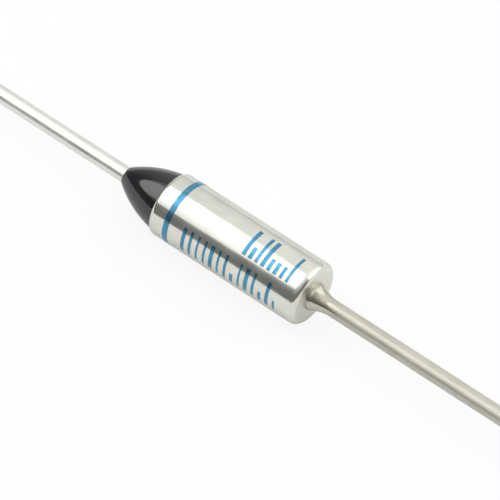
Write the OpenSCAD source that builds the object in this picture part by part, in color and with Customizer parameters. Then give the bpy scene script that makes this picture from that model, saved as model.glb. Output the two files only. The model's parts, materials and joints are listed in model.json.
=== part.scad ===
// Pellet thermal fuse: a round metal case with a wire lead at each end and a one-shot switch inside.
// Lengths are in millimetres. The fuse lies along X, with its origin at the middle of the case.
// +X points along the case lead, and -X along the isolated lead that leaves through the seal.

/* [Case] */
// Outside diameter of the case
case_d = 4.0; // [3.6:0.1:5.0]
// Length of the case from its mouth to its closed end
case_l = 10.6; // [9.0:0.1:14.0]
// Wall of the barrel
case_wall = 0.28; // [0.24:0.01:0.36]
// Thickness of the closed end
case_end_t = 0.3; // [0.2:0.05:0.5]
// Outer radius of the corner at the closed end
case_corner_r = 0.42; // [0.38:0.02:0.7]
// Depth of the step in the bore that the bushing stops on
seat_step = 0.1; // [0.06:0.01:0.14]
// Outer radius of the rim that is rolled over the bushing
rim_r = 0.3; // [0.24:0.02:0.4]
// How far the rolled lip reaches over the bushing
lip_reach = 0.35; // [0.2:0.05:0.5]

/* [Leads] */
// Diameter of the wire
lead_d = 1.0; // [0.8:0.05:1.2]
// Free length of the case lead, from the closed end
case_lead_l = 25; // [12:1:60]
// Free length of the isolated lead, from the tip of the seal
isolated_lead_l = 25; // [12:1:60]
// Bevel at the cut end of a lead
lead_bevel = 0.1; // [0.05:0.05:0.25]
// Diameter of the case lead's flared foot
flare_d = 1.7; // [1.5:0.1:2.4]
// Length of the flare
flare_l = 1.2; // [0.8:0.1:2.0]
// Height of the straight edge under the flare
flare_edge = 0.2; // [0.04:0.02:0.3]
// Diameter of the tail that passes through the closed end
tail_d = 0.7; // [0.5:0.05:0.9]
// Diameter of the tail's riveted head
rivet_d = 1.7; // [1.2:0.1:2.2]
// Thickness of the riveted head
rivet_t = 0.35; // [0.2:0.05:0.6]
// Diameter of the isolated lead's contact head
head_d = 1.5; // [1.3:0.05:1.8]
// Thickness of the contact head
head_t = 0.4; // [0.2:0.05:0.6]
// Diameter of the collar swaged against the bushing's neck
collar_d = 1.4; // [1.3:0.05:1.5]
// Length of the collar
collar_l = 0.7; // [0.4:0.05:0.9]
// Rounding on the edges of the heads and the collar
head_edge_r = 0.08; // [0.04:0.01:0.12]

/* [Seal] */
// Length of the seal outside the case
seal_l = 3.1; // [2.4:0.05:4.5]
// How far the seal's base lies inside the case's outer radius
seal_inset = 0.16; // [0.06:0.02:0.2]
// Thickness of the seal over the lead at its tip
seal_tip_cover = 0.07; // [0.05:0.01:0.25]
// How far the seal's outline bulges out of a straight taper
seal_bulge = 0.2; // [0.1:0.05:0.3]
// Depth of the collar below the tip of the seal
collar_depth = 0.35; // [0.2:0.05:0.5]

/* [Bushing] */
// Length of the bushing's body in the case
bushing_l = 2.6; // [1.6:0.1:3.4]
// Diameter of the neck that carries the seal
neck_d = 1.7; // [1.5:0.05:2.1]
// Bevel on the outer edges of the body and the neck
bushing_bevel = 0.15; // [0.1:0.01:0.2]

/* [Contacts] */
// Thickness of the star contact's sheet
star_t = 0.12; // [0.08:0.01:0.18]
// Inner radius of the bend at the root of a finger
star_bend_r = 0.15; // [0.08:0.01:0.2]
// Number of fingers on the star contact
star_fingers = 6; // [4:1:8]
// Width of the slot between two fingers
star_slot_w = 0.35; // [0.2:0.05:0.6]
// Room between the tips of the fingers and the bushing
finger_room = 0.45; // [0.3:0.05:0.6]
// Thickness of the disc at each end of the main spring
disc_t = 0.25; // [0.15:0.05:0.4]

/* [Springs] */
// Length of the main spring between its discs
main_spring_l = 2.0; // [1.7:0.1:2.8]
// Wire of the main spring
main_wire_d = 0.3; // [0.22:0.02:0.36]
// Active turns of the main spring
main_turns = 2; // [1:0.5:2.5]
// How far the middle of the main spring swells
main_swell = 0.2; // [0.05:0.05:0.4]
// Length of the trip spring between the bushing and the star contact
trip_spring_l = 1.3; // [1.1:0.05:2.0]
// Wire of the trip spring
trip_wire_d = 0.2; // [0.14:0.01:0.24]
// Active turns of the trip spring
trip_turns = 2; // [1:0.5:2.5]
// How much wider the trip spring is at the bushing
trip_taper = 0.15; // [0.0:0.05:0.3]

/* [Pellet] */
// Bevel on the edges of the pellet
pellet_bevel = 0.15; // [0.05:0.05:0.3]

/* [Fits] */
// Gap round a piece that slides in the bore
slide_gap = 0.05; // [0.03:0.01:0.1]
// Gap round a piece that is seated
seat_gap = 0.02; // [0.01:0.005:0.03]
// Gap between the fingers of the star contact and the bore
finger_gap = 0.01; // [0.005:0.005:0.02]
// Gap between a spring and the piece beside it
spring_gap = 0.1; // [0.06:0.01:0.14]

/* [Hidden] */

$fn = 96;
// How far a cut runs past the surface that it opens
over = 0.2;

// Radii
case_r = case_d / 2;
bore_r = case_r - case_wall;
seat_r = bore_r + seat_step;
mouth_wall = case_wall - seat_step;
lip_r = seat_r - lip_reach;
lead_r = lead_d / 2;
head_r = head_d / 2;
neck_r = neck_d / 2;
bushing_r = seat_r - seat_gap;
slider_r = bore_r - slide_gap;

// Stations along X, from the mouth to the closed end
mouth_x = -case_l / 2;
end_x = case_l / 2;
lip_x = mouth_x + mouth_wall;
bushing_x = lip_x + bushing_l;
star_x = bushing_x + trip_spring_l;
contact_disc_x = star_x + star_t;
main_spring_x = contact_disc_x + disc_t;
pellet_disc_x = main_spring_x + main_spring_l;
pellet_x = pellet_disc_x + disc_t;
floor_x = end_x - case_end_t;
rivet_x = floor_x - rivet_t;

// Stations along X outside the mouth
seal_tip_x = mouth_x - seal_l;
collar_x = seal_tip_x + collar_depth;
neck_x = collar_x + collar_l;

// Seal: its base meets the rolled rim, and its outline is one arc from the base to the tip
seal_base_r = case_r - seal_inset;
seal_tip_r = lead_r + seal_tip_cover;
rim_rise = seal_base_r - (case_r - rim_r);
seal_base_x = mouth_x + rim_r - sqrt(rim_r * rim_r - rim_rise * rim_rise);
seal_run = seal_base_x - seal_tip_x;
seal_rise = seal_base_r - seal_tip_r;
seal_chord = norm([seal_run, seal_rise]);
seal_arc_r = (seal_chord * seal_chord / 4 + seal_bulge * seal_bulge) / (2 * seal_bulge);
seal_arc_back = (seal_arc_r - seal_bulge) / seal_chord;
seal_arc_at = [(seal_base_r + seal_tip_r) / 2 - seal_run * seal_arc_back,
    (seal_base_x + seal_tip_x) / 2 + seal_rise * seal_arc_back];

// Springs: the trip spring stands round the contact head, and the main spring fills the bore at its middle
closed_turns = 1;
closed_pitch = 1.12;
wire_sides = 8;
turn_steps = 24;
trip_star_r = head_r + spring_gap + trip_wire_d / 2;
main_end_r = bore_r - spring_gap - main_wire_d / 2 - main_swell;

// Star contact: its flat middle clears the trip spring, and its fingers bend back to reach the bore
star_flat_r = trip_star_r + trip_wire_d / 2 + spring_gap;
star_r = bore_r - finger_gap;
finger_spread = star_r - star_flat_r;
finger_drop = trip_spring_l - finger_room - star_bend_r;
finger_knee_r = star_bend_r + star_t;
finger_l = sqrt(finger_spread * finger_spread + finger_drop * finger_drop - finger_knee_r * finger_knee_r);
finger_angle = atan2(finger_drop, finger_spread) + atan2(finger_knee_r, finger_l);

// Profiles are half sections: the first coordinate is the radius and the second the station along X
module turned() {
    rotate([0, 90, 0])
        rotate_extrude()
            children();
}

// Rectangle of a half section between two stations and two radii
module band(from_x, to_x, inner_r, outer_r) {
    translate([inner_r, from_x])
        square([outer_r - inner_r, to_x - from_x]);
}

// Waste outside a rounded outer corner, where the solid lies towards +X (side 1) or -X (side -1)
module corner_waste(corner_r, corner_x, round_r, side) {
    centre = [corner_r - round_r, corner_x + side * round_r];
    difference() {
        translate(side > 0 ? [centre[0], corner_x - over] : centre)
            square([round_r + over, round_r + over]);
        translate(centre)
            circle(round_r);
    }
}

// Waste outside a bevelled outer corner, by the same rule
module bevel_waste(corner_r, corner_x, bevel, side) {
    polygon([[corner_r + over, corner_x - side * over],
        [corner_r - bevel - over, corner_x - side * over],
        [corner_r - bevel, corner_x],
        [corner_r, corner_x + side * bevel],
        [corner_r + over, corner_x + side * bevel]]);
}

// Upset disc on a wire, with both edges rounded
module upset(from_x, to_x, radius) {
    difference() {
        band(from_x, to_x, 0, radius);
        corner_waste(radius, from_x, head_edge_r, 1);
        corner_waste(radius, to_x, head_edge_r, -1);
    }
}

// Bore of the case, with the fillet that follows the closed end's corner
module bore_section() {
    difference() {
        band(bushing_x - over, floor_x, 0, bore_r);
        corner_waste(bore_r, floor_x, case_corner_r - case_wall, -1);
    }
}

// Wider seat of the bushing, with the inside of the rolled rim
module seat_section() {
    difference() {
        band(lip_x, bushing_x, 0, seat_r);
        corner_waste(seat_r, lip_x, rim_r - mouth_wall, 1);
    }
}

module case_section() {
    difference() {
        band(mouth_x, end_x, 0, case_r);
        corner_waste(case_r, mouth_x, rim_r, 1);
        corner_waste(case_r, end_x, case_corner_r, -1);
        bore_section();
        seat_section();
        band(mouth_x - over, lip_x + over, 0, lip_r);
        band(floor_x - over, end_x + over, 0, tail_d / 2 + seat_gap);
    }
}

// Concave flare, tangent to the wire at its small end
module flare_section() {
    rise = flare_d / 2 - lead_r;
    arc_r = (flare_l * flare_l + rise * rise) / (2 * rise);
    foot_x = end_x + flare_edge;
    band(end_x, foot_x, 0, flare_d / 2);
    difference() {
        band(foot_x, foot_x + flare_l, 0, flare_d / 2);
        translate([lead_r + arc_r, foot_x + flare_l])
            circle(arc_r, $fn = 4 * $fn);
    }
}

module case_lead_section() {
    difference() {
        band(end_x, end_x + case_lead_l, 0, lead_r);
        bevel_waste(lead_r, end_x + case_lead_l, lead_bevel, -1);
    }
    flare_section();
    band(rivet_x, end_x, 0, tail_d / 2);
    upset(rivet_x, floor_x, rivet_d / 2);
}

module isolated_lead_section() {
    wire_x = seal_tip_x - isolated_lead_l;
    difference() {
        band(wire_x, star_x, 0, lead_r);
        bevel_waste(lead_r, wire_x, lead_bevel, 1);
    }
    upset(collar_x, neck_x, collar_d / 2);
    upset(star_x - head_t, star_x, head_r);
}

module bushing_section() {
    difference() {
        union() {
            difference() {
                band(lip_x, bushing_x, 0, bushing_r);
                bevel_waste(bushing_r, lip_x, bushing_bevel, 1);
            }
            difference() {
                band(neck_x, lip_x, 0, neck_r);
                bevel_waste(neck_r, neck_x, bushing_bevel, 1);
            }
        }
        band(neck_x - over, bushing_x + over, 0, lead_r + seat_gap);
    }
}

// Pointed seal, cast round the collar and the neck and into the mouth of the case
module seal_section() {
    difference() {
        union() {
            intersection() {
                band(seal_tip_x, seal_base_x, 0, case_r);
                translate(seal_arc_at)
                    circle(seal_arc_r, $fn = 4 * $fn);
            }
            band(seal_base_x - over, lip_x, 0, lip_r);
        }
        case_section();
        band(neck_x, lip_x + over, 0, lead_r + seat_gap);
        bushing_section();
        isolated_lead_section();
    }
}

// One finger's half section: the flat middle, the bend and the straight finger out to the bore
module star_section() {
    band(star_x, star_x + star_t, 0, star_flat_r);
    translate([star_flat_r, star_x - star_bend_r]) {
        intersection() {
            difference() {
                circle(finger_knee_r);
                circle(star_bend_r);
            }
            polygon([[0, 0],
                [0, 2 * finger_knee_r],
                2 * finger_knee_r * [tan(finger_angle / 2), 1],
                2 * finger_knee_r * [sin(finger_angle), cos(finger_angle)]]);
        }
        rotate(-finger_angle)
            translate([0, star_bend_r])
                square([finger_l, star_t]);
    }
}

// Slot between two fingers, round at its root
module finger_slot() {
    slot_x = star_x - trip_spring_l;
    slot_l = trip_spring_l + star_t + over;
    translate([slot_x, -star_slot_w / 2, star_flat_r])
        cube([slot_l, star_slot_w, case_r]);
    translate([slot_x, 0, star_flat_r])
        rotate([0, 90, 0])
            cylinder(h = slot_l, d = star_slot_w);
}

// Axial place of a coil's wire, after a number of turns, with the end turns wound closed
function coil_rise(turn, length, wire_d, active) =
    let (
        closed_rise = closed_turns * closed_pitch * wire_d,
        pitch = (length - wire_d - 2 * closed_rise) / active,
        past = turn - closed_turns - active
    )
    turn < closed_turns ? turn * closed_pitch * wire_d
    : past < 0 ? closed_rise + (turn - closed_turns) * pitch
    : closed_rise + active * pitch + past * closed_pitch * wire_d;

// One ring of points round the wire, at an angle round the coil
function wire_ring(angle, rise, coil_r, wire_r) =
    [for (side = [0:wire_sides - 1])
        let (
            a = 360 * side / wire_sides,
            r = coil_r + wire_r * cos(a)
        )
        [rise + wire_r * sin(a), r * cos(angle), r * sin(angle)]];

// Coil spring along +X from the plane x = 0, swept as a round wire
module coil_spring(length, wire_d, active, start_r, end_r, swell) {
    total = active + 2 * closed_turns;
    rings = ceil(total * turn_steps);
    points = [for (i = [0:rings])
        let (
            share = i / rings,
            turn = share * total,
            coil_r = start_r + (end_r - start_r) * share + swell * sin(180 * share)
        )
        each wire_ring(360 * turn, wire_d / 2 + coil_rise(turn, length, wire_d, active), coil_r, wire_d / 2)];
    skin = [for (i = [0:rings - 1], side = [0:wire_sides - 1])
        let (
            next = (side + 1) % wire_sides,
            a = i * wire_sides + side,
            b = i * wire_sides + next,
            c = a + wire_sides,
            d = b + wire_sides
        )
        each [[a, b, c], [b, d, c]]];
    first_cap = [for (side = [wire_sides - 1:-1:0]) side];
    last_cap = [for (side = [0:wire_sides - 1]) rings * wire_sides + side];
    polyhedron(points, concat(skin, [first_cap, last_cap]));
}

// Flat disc that slides in the bore, by the station of its face towards the mouth
module spring_disc(from_x) {
    turned()
        band(from_x, from_x + disc_t, 0, slider_r);
}

module case() {
    color("gainsboro")
        turned()
            case_section();
}

module case_lead() {
    color("darkkhaki")
        turned()
            case_lead_section();
}

module thermal_pellet() {
    color("ivory")
        turned()
            difference() {
                band(pellet_x, rivet_x, 0, slider_r);
                bevel_waste(slider_r, pellet_x, pellet_bevel, 1);
                bevel_waste(slider_r, rivet_x, pellet_bevel, -1);
            }
}

module pellet_disc() {
    color("darkgoldenrod")
        spring_disc(pellet_disc_x);
}

module main_spring() {
    color("slategray")
        translate([main_spring_x, 0, 0])
            coil_spring(main_spring_l, main_wire_d, main_turns, main_end_r, main_end_r, main_swell);
}

module contact_disc() {
    color("darkgoldenrod")
        spring_disc(contact_disc_x);
}

module star_contact() {
    color("whitesmoke")
        difference() {
            turned()
                star_section();
            for (finger = [0:star_fingers - 1])
                rotate([360 * finger / star_fingers, 0, 0])
                    finger_slot();
        }
}

module trip_spring() {
    color("slategray")
        translate([bushing_x, 0, 0])
            coil_spring(trip_spring_l, trip_wire_d, trip_turns, trip_star_r + trip_taper, trip_star_r, 0);
}

module ceramic_bushing() {
    color("linen")
        turned()
            bushing_section();
}

module isolated_lead() {
    color("silver")
        turned()
            isolated_lead_section();
}

module epoxy_seal() {
    color("black")
        turned()
            seal_section();
}

case();
case_lead();
thermal_pellet();
pellet_disc();
main_spring();
contact_disc();
star_contact();
trip_spring();
ceramic_bushing();
isolated_lead();
epoxy_seal();
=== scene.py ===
import json
import math

import bpy
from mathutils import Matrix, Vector


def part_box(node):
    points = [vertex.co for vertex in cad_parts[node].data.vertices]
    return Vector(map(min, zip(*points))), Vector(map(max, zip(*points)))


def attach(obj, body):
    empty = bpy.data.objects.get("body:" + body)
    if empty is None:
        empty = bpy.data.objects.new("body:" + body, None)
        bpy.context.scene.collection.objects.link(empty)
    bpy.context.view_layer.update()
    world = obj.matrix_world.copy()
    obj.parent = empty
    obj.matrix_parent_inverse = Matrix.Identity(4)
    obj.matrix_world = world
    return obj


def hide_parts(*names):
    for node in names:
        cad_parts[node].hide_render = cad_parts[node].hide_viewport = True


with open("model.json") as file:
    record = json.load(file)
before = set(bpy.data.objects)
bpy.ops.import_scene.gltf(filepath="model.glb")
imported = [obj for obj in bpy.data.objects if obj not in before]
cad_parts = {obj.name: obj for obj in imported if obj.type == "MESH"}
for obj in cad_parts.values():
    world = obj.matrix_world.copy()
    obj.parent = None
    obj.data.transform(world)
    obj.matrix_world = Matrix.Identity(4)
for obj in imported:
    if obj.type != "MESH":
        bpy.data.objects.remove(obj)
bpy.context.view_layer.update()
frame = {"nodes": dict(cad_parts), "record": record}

MM = 0.001

# Sizes read from the frame
CASE_LOW, CASE_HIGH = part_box("case")
MOUTH_X, END_X, CASE_R = CASE_LOW.x, CASE_HIGH.x, -CASE_LOW.z
SEAL_LOW, SEAL_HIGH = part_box("epoxy_seal")
SEAL_TIP_X, LIP_X, SEAL_BASE_R = SEAL_LOW.x, SEAL_HIGH.x, -SEAL_LOW.z
ISOLATED_LOW, ISOLATED_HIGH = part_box("isolated_lead")
ISOLATED_END_X, STAR_X, HEAD_R = ISOLATED_LOW.x, ISOLATED_HIGH.x, -ISOLATED_LOW.z
CASE_LEAD_LOW, CASE_LEAD_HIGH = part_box("case_lead")
RIVET_X, CASE_LEAD_END_X, FLARE_R = CASE_LEAD_LOW.x, CASE_LEAD_HIGH.x, -CASE_LEAD_LOW.z
BUSHING_LOW, BUSHING_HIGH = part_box("ceramic_bushing")
NECK_X, BUSHING_X = BUSHING_LOW.x, BUSHING_HIGH.x
MAIN_LOW, MAIN_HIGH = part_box("main_spring")
TRIP_LOW, TRIP_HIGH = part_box("trip_spring")
MOUNTS = {mount["name"]: mount for mount in frame["record"]["mounts"]}
LEAD_R = MOUNTS["isolated_wire"]["dims"]["r_mm"] * MM

# Sizes of the sections that the frame's boxes don't give
CASE_WALL = 0.28 * MM
CASE_END_T = 0.3 * MM
CASE_CORNER_R = 0.42 * MM
SEAT_STEP = 0.1 * MM
RIM_R = 0.3 * MM
LIP_REACH = 0.35 * MM
LEAD_BEVEL = 0.1 * MM
FLARE_L = 1.2 * MM
FLARE_EDGE = 0.2 * MM
TAIL_R = 0.35 * MM
TAIL_GAP = 0.02 * MM
RIVET_R = 0.85 * MM
HEAD_T = 0.4 * MM
HEAD_EDGE_R = 0.08 * MM
COLLAR_R = 0.7 * MM
COLLAR_L = 0.7 * MM
SEAL_TIP_COVER = 0.07 * MM
SEAL_BULGE = 0.2 * MM
NECK_R = 0.85 * MM
BUSHING_BEVEL = 0.15 * MM
SPRING_GAP = 0.1 * MM
MAIN_WIRE_D = 0.3 * MM
MAIN_SWELL = 0.2 * MM
TRIP_WIRE_D = 0.2 * MM
TRIP_TAPER = 0.15 * MM
ACTIVE_TURNS = 2.0
# Rise of a closed end turn, in wires
CLOSED_PITCH = 1.12

# Sizes that follow from those
BORE_R = CASE_R - CASE_WALL
SEAT_R = BORE_R + SEAT_STEP
MOUTH_WALL = CASE_WALL - SEAT_STEP
LIP_R = SEAT_R - LIP_REACH
CASE_FLOOR_X = END_X - CASE_END_T
COLLAR_X = NECK_X - COLLAR_L
MAIN_COIL_R = BORE_R - SPRING_GAP - MAIN_WIRE_D / 2 - MAIN_SWELL
TRIP_COIL_R = HEAD_R + SPRING_GAP + TRIP_WIRE_D / 2

# Print: a ring near the mouth, and two rows of plain marks along the barrel
INK_T = 0.008 * MM
RING_FROM_MOUTH = 1.28 * MM
RING_W = 0.37 * MM
MARK_W = 0.2 * MM
MARK_SPREAD = 0.7
# Share of the marks that are short, and the share of its height that a short one lacks
SHORT_SHARE = 0.4
SHORT_CUT = 0.6

# Stretches with a finish of their own: the closed end's face, with painted light in a lighter tone, and the
# flare before the wire's film, with painted shade in a darker tone
FACE_DEPTH = 0.06 * MM
BARE_L = 1.0 * MM
FILM_FROM = 2.0 * MM

# Smoothness of the turned and wound pieces
TURN_STEPS = 256
ARC_STEPS = 14
EDGE_STEPS = 6
FLARE_STEPS = 28
SEAL_STEPS = 40
SPRING_STEPS = 193
WIRE_SIDES = 20
# Points of an ink mark along the barrel, round it and through the ink
MARK_POINTS = 4, 41, 2
SHARP_ANGLE = math.radians(32)

# Camera: the photograph's angle, its scale at the fuse and where the fuse's middle lies in the frame
FRAME_PX = 500
PX_PER_MM = 17.6
VIEW_AZIMUTH = math.radians(38.9)
VIEW_ELEVATION = math.radians(53)
VIEW_DISTANCE = 300 * MM
MIDDLE_PX = (241.2, 249.1)
SENSOR_W = 36.0
CLIP_NEAR, CLIP_FAR = 0.01, 50.0

# Studio: azimuths are from the front, -Y, towards +X
FLOOR_HALF = 3.0
FLOOR_Z = -CASE_R
FLOOR_WHITE = 0.87
FLOOR_GLOW_SEEN = 0.88
FLOOR_GLOW_MIRRORED = 0.26
ROOM_GLOW_MIRRORED = 0.12
HORIZON_LEVEL = 0.5
CEILING_LEVEL = 1.17
SHADE_LEVEL = 0.09
# Sine of the elevation up to which the shade is full
SHADE_TOP = 0.3
SHADE_LEFT = math.radians(-155), math.radians(-100)
SHADE_RIGHT = math.radians(97), math.radians(107)
SOFTBOX_DISTANCE = 0.6
# Azimuth and elevation in degrees, width and height in metres, radiance
SOFTBOXES = {"left_softbox": (-70, 52, 0.75, 0.74, 0.75), "left_lamp": (-75, 41, 0.48, 0.48, 1.6),
             "back_softbox": (135, 28, 0.62, 0.78, 0.55)}


# Turned pieces

class Section:
    """Half section of a turned piece, as points of station along X and radius."""

    def __init__(self, x, r):
        self.points = [(x, r)]

    def to(self, x, r):
        self.points.append((x, r))
        return self

    def arc(self, x, r, centre, steps=ARC_STEPS):
        """Round stretch about a centre, the short way, to the given point."""
        x0, r0 = self.points[-1]
        start = math.atan2(r0 - centre[1], x0 - centre[0])
        sweep = math.atan2(r - centre[1], x - centre[0]) - start
        sweep = (sweep + math.pi) % (2 * math.pi) - math.pi
        radius = math.hypot(x0 - centre[0], r0 - centre[1])
        for i in range(1, steps):
            a = start + sweep * i / steps
            self.to(centre[0] + radius * math.cos(a), centre[1] + radius * math.sin(a))
        return self.to(x, r)

    def upset(self, x0, x1, r):
        """Upset disc on a wire, with both edges rounded."""
        e = HEAD_EDGE_R
        self.to(x0, r - e).arc(x0 + e, r, (x0 + e, r - e), EDGE_STEPS)
        return self.to(x1 - e, r).arc(x1, r - e, (x1 - e, r - e), EDGE_STEPS)


def turn(name, section, closed):
    """Half section turned about X: a ring if the section is closed, else a body that ends on the axis."""
    verts, rows = [], []
    for x, r in section.points:
        count = 1 if r == 0 else TURN_STEPS
        rows.append(range(len(verts), len(verts) + count))
        for i in range(count):
            a = 2 * math.pi * i / TURN_STEPS
            verts.append((x, -r * math.sin(a), r * math.cos(a)))
    pairs = list(zip(rows, rows[1:]))
    if closed:
        pairs.append((rows[-1], rows[0]))
    faces = []
    for near, far in pairs:
        for i in range(TURN_STEPS):
            j = (i + 1) % TURN_STEPS
            corners = [near[i % len(near)], near[j % len(near)], far[j % len(far)], far[i % len(far)]]
            faces.append(list(dict.fromkeys(corners)))
    mesh = bpy.data.meshes.new(name)
    mesh.from_pydata(verts, [], faces)
    return placed(name, mesh)


def placed(name, mesh):
    """Object of a mesh, smooth but for its sharp edges."""
    mesh.polygons.foreach_set("use_smooth", [True] * len(mesh.polygons))
    mesh.set_sharp_from_angle(angle=SHARP_ANGLE)
    piece = bpy.data.objects.new(name, mesh)
    bpy.context.scene.collection.objects.link(piece)
    return piece


def case_section():
    hole_r = TAIL_R + TAIL_GAP
    inner_corner_r = CASE_CORNER_R - CASE_WALL
    inner_rim_r = RIM_R - MOUTH_WALL
    s = Section(MOUTH_X, LIP_R)
    s.to(MOUTH_X, CASE_R - RIM_R)
    s.arc(MOUTH_X + RIM_R, CASE_R, (MOUTH_X + RIM_R, CASE_R - RIM_R))
    s.to(END_X - CASE_CORNER_R, CASE_R)
    s.arc(END_X, CASE_R - CASE_CORNER_R, (END_X - CASE_CORNER_R, CASE_R - CASE_CORNER_R))
    s.to(END_X, hole_r).to(CASE_FLOOR_X, hole_r).to(CASE_FLOOR_X, BORE_R - inner_corner_r)
    s.arc(CASE_FLOOR_X - inner_corner_r, BORE_R, (CASE_FLOOR_X - inner_corner_r, BORE_R - inner_corner_r))
    s.to(BUSHING_X, BORE_R).to(BUSHING_X, SEAT_R).to(LIP_X + inner_rim_r, SEAT_R)
    s.arc(LIP_X, SEAT_R - inner_rim_r, (LIP_X + inner_rim_r, SEAT_R - inner_rim_r))
    return s.to(LIP_X, LIP_R)


def case_lead_section():
    rise = FLARE_R - LEAD_R
    arc_r = (FLARE_L ** 2 + rise ** 2) / (2 * rise)
    foot_x = END_X + FLARE_EDGE
    s = Section(RIVET_X, 0)
    s.upset(RIVET_X, CASE_FLOOR_X, RIVET_R)
    s.to(CASE_FLOOR_X, TAIL_R).to(END_X, TAIL_R).to(END_X, FLARE_R).to(foot_x, FLARE_R)
    s.arc(foot_x + FLARE_L, LEAD_R, (foot_x + FLARE_L, LEAD_R + arc_r), FLARE_STEPS)
    s.to(CASE_LEAD_END_X - LEAD_BEVEL, LEAD_R)
    return s.to(CASE_LEAD_END_X, LEAD_R - LEAD_BEVEL).to(CASE_LEAD_END_X, 0)


def isolated_lead_section():
    s = Section(ISOLATED_END_X, 0)
    s.to(ISOLATED_END_X, LEAD_R - LEAD_BEVEL).to(ISOLATED_END_X + LEAD_BEVEL, LEAD_R)
    s.to(COLLAR_X, LEAD_R).upset(COLLAR_X, NECK_X, COLLAR_R)
    s.to(NECK_X, LEAD_R).to(STAR_X - HEAD_T, LEAD_R)
    return s.upset(STAR_X - HEAD_T, STAR_X, HEAD_R).to(STAR_X, 0)


def seal_section():
    rim_centre = (MOUTH_X + RIM_R, CASE_R - RIM_R)
    rim_rise = SEAL_BASE_R - rim_centre[1]
    base_x = rim_centre[0] - math.sqrt(RIM_R ** 2 - rim_rise ** 2)
    tip_r = LEAD_R + SEAL_TIP_COVER
    run, rise = base_x - SEAL_TIP_X, SEAL_BASE_R - tip_r
    chord = math.hypot(run, rise)
    arc_r = (chord ** 2 / 4 + SEAL_BULGE ** 2) / (2 * SEAL_BULGE)
    back = (arc_r - SEAL_BULGE) / chord
    centre = ((base_x + SEAL_TIP_X) / 2 + rise * back, (SEAL_BASE_R + tip_r) / 2 - run * back)
    s = Section(SEAL_TIP_X, LEAD_R)
    s.to(SEAL_TIP_X, tip_r).arc(base_x, SEAL_BASE_R, centre, SEAL_STEPS)
    s.arc(MOUTH_X, rim_centre[1], rim_centre).to(MOUTH_X, LIP_R).to(LIP_X, LIP_R)
    s.to(LIP_X, NECK_R).to(NECK_X + BUSHING_BEVEL, NECK_R).to(NECK_X, NECK_R - BUSHING_BEVEL)
    e = HEAD_EDGE_R
    s.to(NECK_X, COLLAR_R - e).arc(NECK_X - e, COLLAR_R, (NECK_X - e, COLLAR_R - e), EDGE_STEPS)
    s.to(COLLAR_X + e, COLLAR_R).arc(COLLAR_X, COLLAR_R - e, (COLLAR_X + e, COLLAR_R - e), EDGE_STEPS)
    return s.to(COLLAR_X, LEAD_R)


def ring_section():
    x0, x1 = MOUTH_X + RING_FROM_MOUTH - RING_W / 2, MOUTH_X + RING_FROM_MOUTH + RING_W / 2
    return Section(x0, CASE_R).to(x0, CASE_R + INK_T).to(x1, CASE_R + INK_T).to(x1, CASE_R)


# Nodes

class Value:
    """Number on a node's socket: arithmetic on it adds Math nodes to its tree."""

    def __init__(self, tree, socket):
        self.tree = tree
        self.socket = socket

    def math(self, operation, *terms):
        return self.tree.node("ShaderNodeMath", {"operation": operation}, dict(enumerate(terms)))

    def __add__(self, other):
        return self.math("ADD", self, other)

    def __radd__(self, other):
        return self.math("ADD", other, self)

    def __sub__(self, other):
        return self.math("SUBTRACT", self, other)

    def __rsub__(self, other):
        return self.math("SUBTRACT", other, self)

    def __mul__(self, other):
        return self.math("MULTIPLY", self, other)

    def __rmul__(self, other):
        return self.math("MULTIPLY", other, self)

    def __truediv__(self, other):
        return self.math("DIVIDE", self, other)

    def __rtruediv__(self, other):
        return self.math("DIVIDE", other, self)

    def __lt__(self, other):
        return self.math("LESS_THAN", self, other)

    def __pow__(self, other):
        return self.math("POWER", self, other)

    def sin(self):
        return self.math("SINE", self)

    def cos(self):
        return self.math("COSINE", self)

    def between(self, low, high):
        return self.math("MINIMUM", self.math("MAXIMUM", self, low), high)


class Tree:
    """Node tree in which one method adds any node."""

    def __init__(self, tree):
        self.tree = tree
        tree.nodes.clear()

    def node(self, kind, settings=None, sockets=None, output=0):
        """Adds a node, sets its settings, then its sockets, and returns an output or a list of them."""
        made = self.tree.nodes.new(kind)
        for name, setting in (settings or {}).items():
            setattr(made, name, setting)
        for key, given in (sockets or {}).items():
            if isinstance(given, Value):
                self.tree.links.new(given.socket, made.inputs[key])
            else:
                made.inputs[key].default_value = given
        if isinstance(output, tuple):
            return [Value(self, made.outputs[key]) for key in output]
        return Value(self, made.outputs[output]) if made.outputs else None

    def vector(self, x, y, z):
        return self.node("ShaderNodeCombineXYZ", sockets={"X": x, "Y": y, "Z": z})

    def sight(self):
        """1 on what the camera sees itself, and 1 on what it sees mirrored or through a piece."""
        camera, glossy, through = self.node("ShaderNodeLightPath",
                                            output=("Is Camera Ray", "Is Glossy Ray", "Is Transmission Ray"))
        return camera, glossy + through

    def limits(self, value, low, high, to_low, to_high):
        """A number mapped from one span to another, and held inside it."""
        spans = {"From Min": low, "From Max": high, "To Min": to_low, "To Max": to_high}
        return self.node("ShaderNodeMapRange", {"clamp": True}, {"Value": value, **spans})


# Pieces that repeat or follow a path

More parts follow.
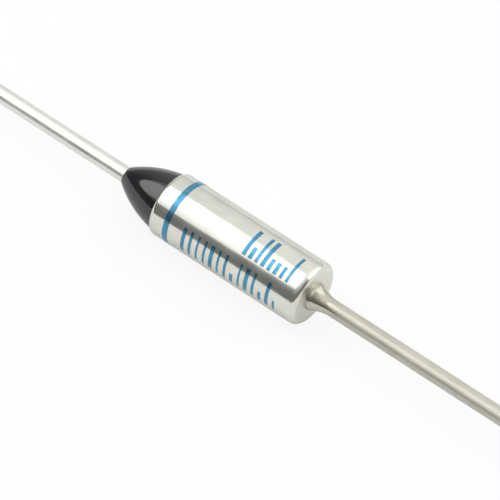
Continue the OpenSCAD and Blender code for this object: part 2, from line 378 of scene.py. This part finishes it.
class Maker(Tree):
    """Geometry nodes with named inputs, which make one plain mesh at a time."""

    def __init__(self, name, **inputs):
        super().__init__(bpy.data.node_groups.new(name, "GeometryNodeTree"))
        face = self.tree.interface
        face.new_socket("Geometry", in_out="OUTPUT", socket_type="NodeSocketGeometry")
        self.keys = {}
        for key, kind in inputs.items():
            self.keys[key] = face.new_socket(key, in_out="INPUT", socket_type="NodeSocket" + kind).identifier
        names = tuple(inputs)
        self.given = dict(zip(names, self.node("NodeGroupInput", output=names)))

    def draw(self, seed):
        """Random number from 0 to 1 for each point."""
        index = self.node("GeometryNodeInputIndex")
        return self.node("FunctionNodeRandomValue", {"data_type": "FLOAT"}, {"ID": index, "Seed": seed}, 1)

    def end(self, geometry):
        """Closes the tree: instances made real, and the material set."""
        real = self.node("GeometryNodeRealizeInstances", sockets={"Geometry": geometry})
        sockets = {"Geometry": real, "Material": self.given["Material"]}
        dressed = self.node("GeometryNodeSetMaterial", sockets=sockets)
        self.node("NodeGroupOutput", sockets={"Geometry": dressed})

    def make(self, name, **values):
        """New piece with the tree's result as its mesh."""
        blank = bpy.data.objects.new(name + "_blank", bpy.data.meshes.new(name + "_blank"))
        bpy.context.scene.collection.objects.link(blank)
        modifier = blank.modifiers.new(name, "NODES")
        modifier.node_group = self.tree
        for key, value in values.items():
            modifier[self.keys[key]] = value
        graph = bpy.context.evaluated_depsgraph_get()
        mesh = bpy.data.meshes.new_from_object(blank.evaluated_get(graph))
        mesh.name = name
        bpy.data.objects.remove(blank)
        return placed(name, mesh)


def print_maker():
    """Row of flat ink marks along X, some of them short, wrapped round the barrel."""
    m = Maker("printed_row", Marks="Int", Pitch="Float", Width="Float", Height="Float", Spread="Float",
              Short="Float", Middle="Float", Angle="Float", Radius="Float", Ink="Float", Seed="Int",
              Material="Material")
    g = m.given
    first = g["Middle"] - g["Pitch"] * 0.5 * (g["Marks"] - 1)
    line = m.node("GeometryNodeMeshLine",
                  sockets={"Count": g["Marks"], "Start Location": m.vector(first, 0, 0),
                           "Offset": m.vector(g["Pitch"], 0, 0)})
    short = m.draw(g["Seed"]) < g["Short"]
    side = 1 - 2 * (m.draw(g["Seed"] + 1) < 0.5)
    shift = m.vector(0, short * side * g["Height"] * (SHORT_CUT / 2), 0)
    line = m.node("GeometryNodeSetPosition", sockets={"Geometry": line, "Offset": shift})
    points = dict(zip(("Vertices X", "Vertices Y", "Vertices Z"), MARK_POINTS))
    mark = m.node("GeometryNodeMeshCube",
                  sockets={"Size": m.vector(g["Width"], g["Height"], g["Ink"]), **points})
    wide = 1 + g["Spread"] * (m.draw(g["Seed"] + 2) - 0.5)
    size = m.vector(wide, 1 - SHORT_CUT * short, 1)
    row = m.node("GeometryNodeInstanceOnPoints", sockets={"Points": line, "Instance": mark, "Scale": size})
    flat = m.node("GeometryNodeRealizeInstances", sockets={"Geometry": row})
    spot = m.node("GeometryNodeInputPosition")
    x, y, z = m.node("ShaderNodeSeparateXYZ", sockets={0: spot}, output=(0, 1, 2))
    angle = g["Angle"] - y / g["Radius"]
    radius = g["Radius"] + z + g["Ink"] * 0.5
    place = m.vector(x, -1 * radius * angle.sin(), radius * angle.cos())
    m.end(m.node("GeometryNodeSetPosition", sockets={"Geometry": flat, "Position": place}))
    return m


def spring_maker():
    """Coil spring along +X with its end turns wound closed, as a round wire that follows the coil."""
    m = Maker("wound_spring", Start="Float", Length="Float", Wire="Float", Turns="Float", Pitch="Float",
              From="Float", To="Float", Swell="Float", Steps="Int", Material="Material")
    g = m.given
    line = m.node("GeometryNodeMeshLine", sockets={"Count": g["Steps"]})
    share = m.node("GeometryNodeInputIndex") / (g["Steps"] - 1)
    turned = share * (g["Turns"] + 2)
    closed = g["Pitch"] * g["Wire"]
    climb = g["Length"] - g["Wire"] - 2 * closed
    ends = turned.between(0, 1) + (turned - g["Turns"] - 1).between(0, 1)
    rise = closed * ends + climb * (turned - 1).between(0, g["Turns"]) / g["Turns"]
    coil = g["From"] + (g["To"] - g["From"]) * share + g["Swell"] * (share * math.pi).sin()
    angle = turned * (2 * math.pi)
    place = m.vector(g["Start"] + g["Wire"] * 0.5 + rise, coil * angle.cos(), coil * angle.sin())
    path = m.node("GeometryNodeSetPosition", sockets={"Geometry": line, "Position": place})
    path = m.node("GeometryNodeMeshToCurve", sockets={"Mesh": path})
    round_wire = m.node("GeometryNodeCurvePrimitiveCircle",
                        sockets={"Resolution": WIRE_SIDES, "Radius": g["Wire"] * 0.5})
    m.end(m.node("GeometryNodeCurveToMesh",
                 sockets={"Curve": path, "Profile Curve": round_wire, "Fill Caps": True}))
    return m


# Finishes

class Finish(Tree):
    """Nodes of one material."""

    def __init__(self, name):
        self.material = bpy.data.materials.new(name)
        self.material.use_nodes = True
        super().__init__(self.material.node_tree)

    def grain(self, stretch, detail=3.0, roughness=0.55):
        """Noise by place on the piece, with a number of waves per millimetre on each axis."""
        place = self.node("ShaderNodeTexCoord", output="Object")
        scale = [waves / MM for waves in stretch]
        stretched = self.node("ShaderNodeMapping", sockets={"Vector": place, "Scale": scale})
        return self.node("ShaderNodeTexNoise", {"noise_dimensions": "3D"},
                         {"Vector": stretched, "Scale": 1.0, "Detail": detail, "Roughness": roughness})

    def tone(self, noise):
        """Share from 0 to 1, over the span that most of a noise lies in."""
        return self.limits(noise, 0.35, 0.65, 0.0, 1.0)

    def mix(self, share, low, high):
        """Colour between two colours."""
        return self.node("ShaderNodeMix", {"data_type": "RGBA"},
                         {"Factor": share, 6: (*low, 1.0), 7: (*high, 1.0)}, 2)

    def bump(self, height, distance, under=None):
        """Relief of a height from 0 to 1 times a distance, on top of another relief."""
        sockets = {"Height": height, "Distance": distance}
        if under:
            sockets["Normal"] = under
        return self.node("ShaderNodeBump", sockets=sockets)

    def surface(self, **sockets):
        """Ends the material in a Principled surface."""
        named = {key.replace("_", " "): given for key, given in sockets.items()}
        shader = self.node("ShaderNodeBsdfPrincipled", sockets=named)
        self.node("ShaderNodeOutputMaterial", sockets={"Surface": shader})
        return self.material


def plated_metal(name, dark, light, smooth, rough, dents=0.009 * MM, edge=1.0, metal=1.0, worked_with_painted_tone=None):
    """Plated metal drawn along X: fine streaks, a film that dulls it in places, and shallow dents.

    Edge is the share that it still mirrors where it turns out of sight, and metal the share that shines
    through the film as metal. The last argument is a stretch along X with another finish, all of it metal:
    the stations where it begins and where it is full, and what is added there to the tone and the roughness.
    A tone
    added there is painted: a lighter one is painted light for a brighter reflection, a darker one painted
    shade.
    """
    f = Finish(name)
    streak = f.grain((0.12, 14, 14))
    film = f.grain((0.7, 1.1, 1.1), 4.0)
    fine = f.grain((3, 9, 9), 2.0)
    dent = f.grain((0.3, 0.55, 0.55), 1.0)
    tone = f.tone(streak * 0.5 + film * 0.5)
    dull = f.limits(film * 0.7 + fine * 0.3, 0.35, 0.68, smooth, rough)
    if worked_with_painted_tone:
        x = f.node("ShaderNodeSeparateXYZ", sockets={0: f.node("ShaderNodeTexCoord", output="Object")})
        share = f.limits(x, worked_with_painted_tone[0], worked_with_painted_tone[1], 0.0, 1.0)
        tone, dull = tone + share * worked_with_painted_tone[2], dull + share * worked_with_painted_tone[3]
        if metal < 1.0:
            metal = metal + share * (1.0 - metal)
    relief = f.bump(streak * 0.5 + fine * 0.5, 0.0004 * MM, f.bump(dent, dents))
    return f.surface(Base_Color=f.mix(tone, dark, light), Metallic=metal, Roughness=dull, Normal=relief,
                     Specular_Tint=(edge, edge, edge, 1.0))


def cast_epoxy():
    """Cast resin: near black and glossy, with a faint flow and a little dust."""
    f = Finish("cast_epoxy")
    flow = f.grain((0.5, 0.8, 0.8))
    dust = f.grain((9, 9, 9), 2.0)
    tone = f.tone(flow * 0.7 + dust * 0.3)
    dull = f.limits(flow * 0.6 + dust * 0.4, 0.35, 0.65, 0.07, 0.15)
    skin = f.bump(dust, 0.0004 * MM, f.bump(flow, 0.006 * MM))
    return f.surface(Base_Color=f.mix(tone, (0.003, 0.004, 0.006), (0.007, 0.008, 0.011)), Roughness=dull,
                     Normal=skin, IOR=1.65)


def printed_ink():
    """Thin blue ink, through which the plate still shines."""
    f = Finish("printed_ink")
    film = f.grain((2.5, 2.5, 2.5), 4.0)
    speck = f.grain((12, 12, 12), 2.0)
    tone = f.tone(film * 0.7 + speck * 0.3)
    return f.surface(Base_Color=f.mix(tone, (0.05, 0.215, 0.355), (0.115, 0.345, 0.49)), Metallic=0.95,
                     Roughness=f.limits(film, 0.3, 0.7, 0.16, 0.26), Normal=f.bump(speck, 0.0006 * MM))


def pressed_powder():
    f = Finish("pressed_powder")
    grains = f.grain((14, 14, 14), 5.0, 0.7)
    patches = f.grain((1.5, 1.5, 1.5))
    tone = f.tone(grains * 0.6 + patches * 0.4)
    return f.surface(Base_Color=f.mix(tone, (0.62, 0.56, 0.42), (0.86, 0.81, 0.68)),
                     Roughness=f.limits(grains, 0.3, 0.7, 0.7, 0.9), Normal=f.bump(grains, 0.01 * MM))


def unglazed_ceramic():
    f = Finish("unglazed_ceramic")
    pores = f.grain((10, 10, 10), 4.0, 0.65)
    clouds = f.grain((0.8, 0.8, 0.8))
    tone = f.tone(pores * 0.3 + clouds * 0.7)
    return f.surface(Base_Color=f.mix(tone, (0.74, 0.71, 0.64), (0.9, 0.88, 0.83)),
                     Roughness=f.limits(pores, 0.3, 0.7, 0.45, 0.65), Normal=f.bump(pores, 0.004 * MM))


# Pieces

def dress(piece, finish, slot, *nodes):
    """Gives a new piece its finish, its body and the nodes that it stands for; the slot is not used."""
    piece.data.materials.clear()
    piece.data.materials.append(finish)
    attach(piece, "root")
    if nodes:
        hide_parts(*nodes)


def dress_node(name, finish):
    """Gives a CAD node its finish."""
    for slot in frame["nodes"][name].material_slots:
        slot.link = "OBJECT"
        slot.material = finish


# The closed end's face: duller, and in a lighter tone that is painted light for its brighter reflection
case_plate = plated_metal("tinned_case", (0.66, 0.66, 0.59), (0.79, 0.79, 0.725), 0.09, 0.18,
                          edge=0.86, worked_with_painted_tone=(END_X - FACE_DEPTH, END_X, 1.0, 0.24))
# The flare: shinier and all metal, and in a darker tone that is painted shade for its darker reflection
dull_wire = plated_metal("dull_tinned_wire", (0.5, 0.49, 0.41), (0.62, 0.61, 0.53), 0.36, 0.46, metal=0.6,
                         worked_with_painted_tone=(END_X + FILM_FROM, END_X + BARE_L, -0.3, -0.3))
bright_wire = plated_metal("bright_tinned_wire", (0.74, 0.745, 0.69), (0.85, 0.855, 0.8), 0.3, 0.4)
spring_wire = plated_metal("spring_wire", (0.36, 0.365, 0.375), (0.55, 0.555, 0.565), 0.2, 0.35)
disc_brass = plated_metal("disc_brass", (0.58, 0.4, 0.17), (0.75, 0.58, 0.31), 0.2, 0.4)
silver_contact = plated_metal("silver_contact", (0.8, 0.79, 0.76), (0.92, 0.91, 0.89), 0.12, 0.25)
ink = printed_ink()

dress(turn("turned_case", case_section(), True), case_plate, "tinned_case", "case")
dress(turn("flared_case_lead", case_lead_section(), False), dull_wire, "dull_tinned_wire", "case_lead")
dress(turn("straight_isolated_lead", isolated_lead_section(), False), bright_wire, "bright_tinned_wire",
      "isolated_lead")
dress(turn("cast_seal", seal_section(), True), cast_epoxy(), "black_epoxy", "epoxy_seal")

rows = print_maker()
strokes = dict(Width=MARK_W, Spread=MARK_SPREAD, Short=SHORT_SHARE, Radius=CASE_R, Ink=INK_T, Material=ink)
front_row = rows.make("printed_front_row", Marks=14, Pitch=0.51 * MM, Height=1.67 * MM, Middle=0.58 * MM,
                      Angle=math.radians(74), Seed=5, **strokes)
top_row = rows.make("printed_top_row", Marks=8, Pitch=0.44 * MM, Height=1.83 * MM, Middle=2.63 * MM,
                    Angle=math.radians(10), Seed=12, **strokes)
for marks in (turn("printed_ring", ring_section(), True), front_row, top_row):
    dress(marks, ink, "tinned_case")

springs = spring_maker()
winding = dict(Turns=ACTIVE_TURNS, Pitch=CLOSED_PITCH, Steps=SPRING_STEPS, Material=spring_wire)
main_spring = springs.make("wound_main_spring", Start=MAIN_LOW.x, Length=MAIN_HIGH.x - MAIN_LOW.x,
                           Wire=MAIN_WIRE_D, From=MAIN_COIL_R, To=MAIN_COIL_R, Swell=MAIN_SWELL, **winding)
trip_spring = springs.make("wound_trip_spring", Start=TRIP_LOW.x, Length=TRIP_HIGH.x - TRIP_LOW.x,
                           Wire=TRIP_WIRE_D, From=TRIP_COIL_R + TRIP_TAPER, To=TRIP_COIL_R,
                           Swell=0.0, **winding)
dress(main_spring, spring_wire, "spring_steel", "main_spring")
dress(trip_spring, spring_wire, "spring_steel", "trip_spring")

dress_node("thermal_pellet", pressed_powder())
dress_node("ceramic_bushing", unglazed_ceramic())
dress_node("star_contact", silver_contact)
dress_node("pellet_disc", disc_brass)
dress_node("contact_disc", disc_brass)


# Studio

def toward(azimuth, elevation):
    """Unit vector from the fuse, by the azimuth from the front and the elevation."""
    return Vector((math.sin(azimuth) * math.cos(elevation), -math.cos(azimuth) * math.cos(elevation),
                   math.sin(elevation)))


def lay_floor():
    """White floor that shows about white, and keeps a soft share of the shadow, more of it in reflections."""
    mesh = bpy.data.meshes.new("studio_floor")
    corners = [(-1, -1), (1, -1), (1, 1), (-1, 1)]
    mesh.from_pydata([(FLOOR_HALF * x, FLOOR_HALF * y, FLOOR_Z) for x, y in corners], [], [(0, 1, 2, 3)])
    floor = bpy.data.objects.new("studio_floor", mesh)
    bpy.context.scene.collection.objects.link(floor)
    f = Finish("studio_floor")
    seen, mirrored = f.sight()
    paper = f.node("ShaderNodeBsdfDiffuse", sockets={"Color": (FLOOR_WHITE, FLOOR_WHITE, FLOOR_WHITE, 1.0)})
    glow = f.node("ShaderNodeEmission", sockets={"Strength": 1.0})
    share = seen * FLOOR_GLOW_SEEN + mirrored * FLOOR_GLOW_MIRRORED
    shown = f.node("ShaderNodeMixShader", sockets={0: share, 1: paper, 2: glow})
    f.node("ShaderNodeOutputMaterial", sockets={"Surface": shown})
    mesh.materials.append(f.material)


def light_world():
    """Pale room, dimmer to the horizon, shaded on the camera's side, and white where the camera sees it."""
    world = bpy.data.worlds.new("studio_room")
    bpy.context.scene.world = world
    world.use_nodes = True
    f = Tree(world.node_tree)
    way = f.node("ShaderNodeTexCoord", output="Generated")
    x, y, z = f.node("ShaderNodeSeparateXYZ", sockets={0: way}, output=(0, 1, 2))
    azimuth = x.math("ARCTAN2", x, -1 * y)
    front = f.limits(azimuth, *SHADE_LEFT, 0.0, 1.0) * f.limits(azimuth, *SHADE_RIGHT, 1.0, 0.0)
    open_side = HORIZON_LEVEL + (CEILING_LEVEL - HORIZON_LEVEL) * z.between(0, 1) ** 0.5
    shaded_side = SHADE_LEVEL + (CEILING_LEVEL - SHADE_LEVEL) * f.limits(z, SHADE_TOP, 1.0, 0.0, 1.0) ** 2
    level = open_side + front * (shaded_side - open_side)
    room = f.node("ShaderNodeBackground", sockets={"Color": (1, 1, 1, 1), "Strength": level})
    white = f.node("ShaderNodeBackground", sockets={"Color": (1, 1, 1, 1), "Strength": 1.0})
    seen, mirrored = f.sight()
    share = seen + mirrored * ROOM_GLOW_MIRRORED
    shown = f.node("ShaderNodeMixShader", sockets={0: share, 1: room, 2: white})
    f.node("ShaderNodeOutputWorld", sockets={"Surface": shown})


def hang_softboxes():
    for name, (azimuth, elevation, width, height, radiance) in SOFTBOXES.items():
        lamp = bpy.data.lights.new(name, "AREA")
        lamp.shape = "ELLIPSE"
        lamp.size, lamp.size_y = width, height
        lamp.energy = radiance * math.pi * (math.pi / 4 * width * height)
        softbox = bpy.data.objects.new(name, lamp)
        away = toward(math.radians(azimuth), math.radians(elevation))
        softbox.location = away * SOFTBOX_DISTANCE
        softbox.rotation_mode = "QUATERNION"
        softbox.rotation_quaternion = away.to_track_quat("Z", "Y")
        softbox.visible_camera = False
        bpy.context.scene.collection.objects.link(softbox)


def place_camera():
    """Camera at the photograph's angle, with the fuse's middle where the photograph has it."""
    back = toward(VIEW_AZIMUTH, VIEW_ELEVATION)
    right = Vector((math.cos(VIEW_AZIMUTH), math.sin(VIEW_AZIMUTH), 0))
    up = back.cross(right)
    half = FRAME_PX / 2
    aim = (right * (half - MIDDLE_PX[0]) + up * (MIDDLE_PX[1] - half)) * (MM / PX_PER_MM)
    data = bpy.data.cameras.new("camera")
    data.sensor_width = SENSOR_W
    data.lens = SENSOR_W * VIEW_DISTANCE / (FRAME_PX * MM / PX_PER_MM)
    data.clip_start, data.clip_end = CLIP_NEAR, CLIP_FAR
    camera = bpy.data.objects.new("camera", data)
    camera.location = aim + back * VIEW_DISTANCE
    camera.rotation_mode = "QUATERNION"
    camera.rotation_quaternion = back.to_track_quat("Z", "Y")
    bpy.context.scene.collection.objects.link(camera)
    bpy.context.scene.camera = camera


lay_floor()
light_world()
hang_softboxes()
place_camera()
bpy.context.scene.view_settings.view_transform = "Standard"
